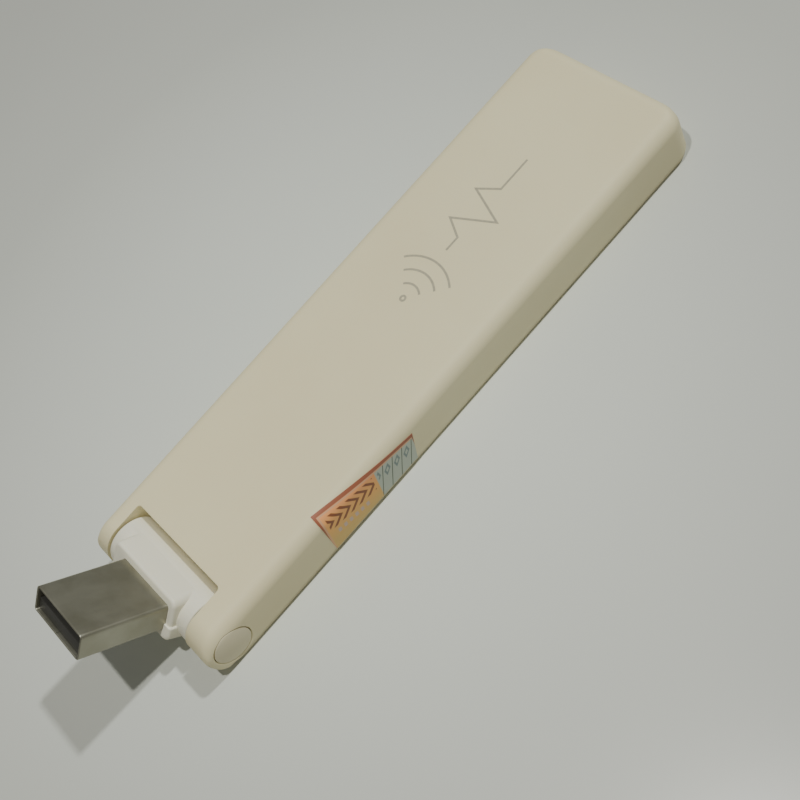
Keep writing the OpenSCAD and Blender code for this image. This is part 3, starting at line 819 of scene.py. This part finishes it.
def shell_tube():
    """The sheet's own section carried round the plug's rounded rectangle. The section runs forward along the
    outside, round the front edge on half the sheet's thickness, back inside and round the rear edge."""
    lip = sheet_t / 2
    turn = np.radians(np.linspace(0, 180, 9))
    front_x = plug_front - lip + lip * np.sin(turn)
    front_in = lip - lip * np.cos(turn)
    along = np.linspace(0, 1, 14)[1:-1]
    out_x = plug_root + lip + (plug_front - 2 * lip - plug_root) * along
    in_x = out_x[::-1]
    rear_x = plug_root + lip - lip * np.sin(turn)
    rear_in = lip + lip * np.cos(turn)
    u = np.concatenate([out_x, front_x, in_x, rear_x])
    inset = np.concatenate([0 * out_x, front_in, sheet_t + 0 * in_x, rear_in])
    y, z = rounded_loop(plug_w / 2 - inset, plug_h / 2 - inset, shell_r - inset)
    x = -u[:, None] + 0 * y
    return grid_piece("plug_shell_tube", on_plug(np.stack([x, y, z], 2)), wrap_u=True, wrap_v=True)


nickel = plated_steel("nickel_plate", (0.385, 0.375, 0.31), (0.32, 0.31, 0.245), 0.42, (0.15, 1, 0.15))
window_x, window_l, window_w = 14.0, 2.2, 2.4
seam_gap = 0.07
under_low, under_high = -4, -1
shell_cutters = [box_cutter("seam", (-30, -seam_gap / 2, under_low), (0, seam_gap / 2, under_high))]
shell_cutters += [box_cutter("window", (-window_x - window_l / 2, y - window_w / 2, under_low),
                             (-window_x + window_l / 2, y + window_w / 2, under_high)) for y in (-3.0, 3.0)]
shell = carved(shell_tube(), shell_cutters)
smooth_but_creased(shell)
shell.data.materials.clear()
shell.data.materials.append(nickel)
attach(shell, "plug")
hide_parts("plug_shell")

# ---- Plug's insulator, contacts and cores ----------------------------------------------
# A dark moulding fills the shell's root and reaches forward as a tongue. Four gold-plated strips
# lie on it, and behind it four cores lead from their tails into the left pin.

insulator_plastic = plain_finish("insulator_plastic", (0.055, 0.055, 0.05), 0.45)
softened("plug_insulator", "insulator_moulding", insulator_plastic, 0.12)
gold = plain_finish("contact_gold", (0.83, 0.62, 0.28), 0.25, 1.0)
softened("contact_power", "power_strip", gold, 0.05)
softened("contact_data_minus", "data_strip_minus", gold, 0.05)
softened("contact_data_plus", "data_strip_plus", gold, 0.05)
softened("contact_ground", "ground_strip", gold, 0.05)
finish_node("plug_cores", core_red)

# ---- Edge label ------------------------------------------------------------------------
# A small paper label, stuck askew over the cover's right edge: its top edge starts high on the
# rounded edge and runs down it, and its foot follows the bottom of the side. It is printed with
# a red border, chevrons on gold and pale cells.

label_t = 0.06
label_sunk = 0.02
label_top = np.array([[20.8, 9.98], [39.3, 6.55]])
label_foot = np.array([[19.85, 1.05], [37.6, 1.05]])
fillet_start = cover_t - edge_r


def on_edge(x, up, out):
    """A point of the cover's right side: `up` runs up the wall and on round the fillet on its arc length,
    and `out` leads off the surface."""
    turn = np.clip((up - fillet_start) / edge_r, 0, None)
    y = -(half_w - edge_r) - (edge_r + out) * np.cos(turn)
    z = np.minimum(up, fillet_start) + (edge_r + out) * np.sin(turn)
    return np.stack([x, y, z], -1)


def label_piece():
    """The label as a closed film: its outside, read from the top edge to the foot, then its underside back.
    Each point is the blend of a point along the top edge with the like point along the foot."""
    along = np.linspace(0, 1, 61)[:, None]
    down = np.linspace(0, 1, 33)[None, :]
    x, up = ((1 - down) * (label_top[0, k] + along * (label_top[1, k] - label_top[0, k]))
             + down * (label_foot[0, k] + along * (label_foot[1, k] - label_foot[0, k])) for k in (0, 1))
    film = np.concatenate([on_edge(x, up, label_t), on_edge(x[:, ::-1], up[:, ::-1], -label_sunk)], 1)
    return grid_piece("edge_label", film, wrap_v=True, caps=True)


label = label_piece()
smooth_but_creased(label, 50)

# Where each point is on the printed sheet: millimetres along its long edge and down from it.
places = np.empty(len(label.data.vertices) * 3)
label.data.vertices.foreach_get("co", places)
x, y, z = (places.reshape(-1, 3) / MM - [axis_x / MM, 0, 0]).T
round_the_fillet = fillet_start + edge_r * np.arctan2(z - fillet_start, -(half_w - edge_r) - y)
up = np.where(z < fillet_start, z, round_the_fillet)
long_edge = (label_top[1] - label_top[0]) / np.linalg.norm(label_top[1] - label_top[0])
from_corner = np.stack([x, up], 1) - label_top[0]
on_sheet = np.stack([from_corner @ long_edge, from_corner @ [long_edge[1], -long_edge[0]], 0 * x], 1)
place_on_sheet = label.data.attributes.new("place_on_sheet", "FLOAT_VECTOR", "POINT")
place_on_sheet.data.foreach_set("vector", on_sheet.ravel())

print_paper, nodes, links, shader = new_material("label_print")
sheet_place = nodes.new("ShaderNodeAttribute")
sheet_place.attribute_name = "place_on_sheet"
sheet_axes = nodes.new("ShaderNodeSeparateXYZ")
links.new(sheet_place.outputs["Vector"], sheet_axes.inputs[0])
along, down = sheet_axes.outputs["X"], sheet_axes.outputs["Y"]


def maths(operation, *values):
    """One arithmetic step on node outputs or numbers."""
    step = nodes.new("ShaderNodeMath")
    step.operation = operation
    for socket, value in zip(step.inputs, values):
        if isinstance(value, (int, float)):
            socket.default_value = value
        else:
            links.new(value, socket)
    return step.outputs[0]


def between(value, low, high, blur=0.12):
    """1 where value lies between low and high, falling to 0 over blur on both sides."""
    rise = nodes.new("ShaderNodeMapRange")
    rise.interpolation_type = "SMOOTHSTEP"
    drop = nodes.new("ShaderNodeMapRange")
    drop.interpolation_type = "SMOOTHSTEP"
    for step, edge, first, last in ((rise, low, 0.0, 1.0), (drop, high, 1.0, 0.0)):
        links.new(value, step.inputs["Value"])
        step.inputs["From Min"].default_value = edge - blur / 2
        step.inputs["From Max"].default_value = edge + blur / 2
        step.inputs["To Min"].default_value = first
        step.inputs["To Max"].default_value = last
    return maths("MULTIPLY", rise.outputs["Result"], drop.outputs["Result"])


def printed_over(under, mask, colour):
    """Ink of one colour printed over what is there, where mask is 1."""
    layer = nodes.new("ShaderNodeMix")
    layer.data_type = "RGBA"
    links.new(mask, layer.inputs["Factor"])
    links.new(under, layer.inputs["A"])
    layer.inputs["B"].default_value = (*colour, 1)
    return layer.outputs["Result"]


border_w = 0.62
gold_end = 10.9
sheet_end = 18.85
gold_shade = ramp_between(nodes, links, maths("DIVIDE", down, 8.0),
                          [(0.1, (0.98, 0.41, 0.16)), (0.45, (0.93, 0.48, 0.14)), (0.9, (0.70, 0.48, 0.17))])

# Brown chevrons: stripes across the sheet that bend where they cross the line down = chevron_line.
chevron_pitch, chevron_line = 1.62, 2.9
chevron_place = maths("ADD", along, maths("ABSOLUTE", maths("SUBTRACT", down, chevron_line)))
chevron_phase = maths("FRACT", maths("DIVIDE", chevron_place, chevron_pitch))
chevrons = maths("MULTIPLY", between(chevron_phase, 0.12, 0.56, 0.1),
                 maths("MULTIPLY", between(down, 1.35, 4.45), between(along, 1.3, 10.3)))
paint = printed_over(gold_shade.outputs["Color"], chevrons, (0.27, 0.10, 0.045))

# A row of pale ticks under the chevrons.
tick_pitch = 1.1
tick_phase = maths("FRACT", maths("DIVIDE", along, tick_pitch))
ticks = maths("MULTIPLY", between(tick_phase, 0.1, 0.6, 0.12),
              maths("MULTIPLY", between(down, 5.25, 6.15), between(along, 2.1, 8.7)))
paint = printed_over(paint, ticks, (0.62, 0.47, 0.40))

# Pale cells past the gold, parted by leaning bars, with an outlined diamond in each.
cell_pitch, cell_lean = 1.9, 0.3
diamond_along, diamond_down = 1.02, 2.5
paint = printed_over(paint, between(along, gold_end, 30.0, 0.1), (0.50, 0.55, 0.47))
cell_place = maths("SUBTRACT", maths("ADD", along, maths("MULTIPLY", down, cell_lean)), gold_end)
cell_phase = maths("FRACT", maths("DIVIDE", cell_place, cell_pitch))
cell_bars = maths("MULTIPLY", between(cell_phase, -0.08, 0.09, 0.06),
                  between(along, gold_end - 0.1, 30.0, 0.1))
paint = printed_over(paint, cell_bars, (0.13, 0.16, 0.12))
past_diamond = maths("SUBTRACT", maths("MULTIPLY", cell_phase, cell_pitch), diamond_along)
below_diamond = maths("MULTIPLY", maths("SUBTRACT", down, diamond_down), 0.5)
from_diamond = maths("ADD", maths("ABSOLUTE", past_diamond), maths("ABSOLUTE", below_diamond))
diamonds = maths("MULTIPLY", between(from_diamond, 0.28, 0.62), between(along, gold_end + 0.3, 18.2, 0.1))
paint = printed_over(paint, diamonds, (0.22, 0.28, 0.27))

# The red border with a thin orange line inside it.
inner_line = maths("MAXIMUM", between(down, border_w, border_w + 0.28),
                   between(along, border_w - 0.1, border_w + 0.2))
paint = printed_over(paint, inner_line, (0.74, 0.42, 0.24))
border = maths("MAXIMUM", between(down, -2.0, border_w),
               maths("MAXIMUM", between(along, -3.0, border_w - 0.1), between(along, sheet_end - 0.35, 30.0)))
paint = printed_over(paint, border, (0.36, 0.125, 0.07))
links.new(paint, shader.inputs["Base Color"])
paper_grain = object_noise(nodes, links, 3000.0, 3.0)
fine_bump(nodes, links, shader, paper_grain.outputs["Fac"], 0.15, 0.00003)
shader.inputs["Roughness"].default_value = 0.5
shader.inputs["Specular IOR Level"].default_value = 0.3
label.data.materials.append(print_paper)
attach(label, "casing")
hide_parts("edge_sticker")
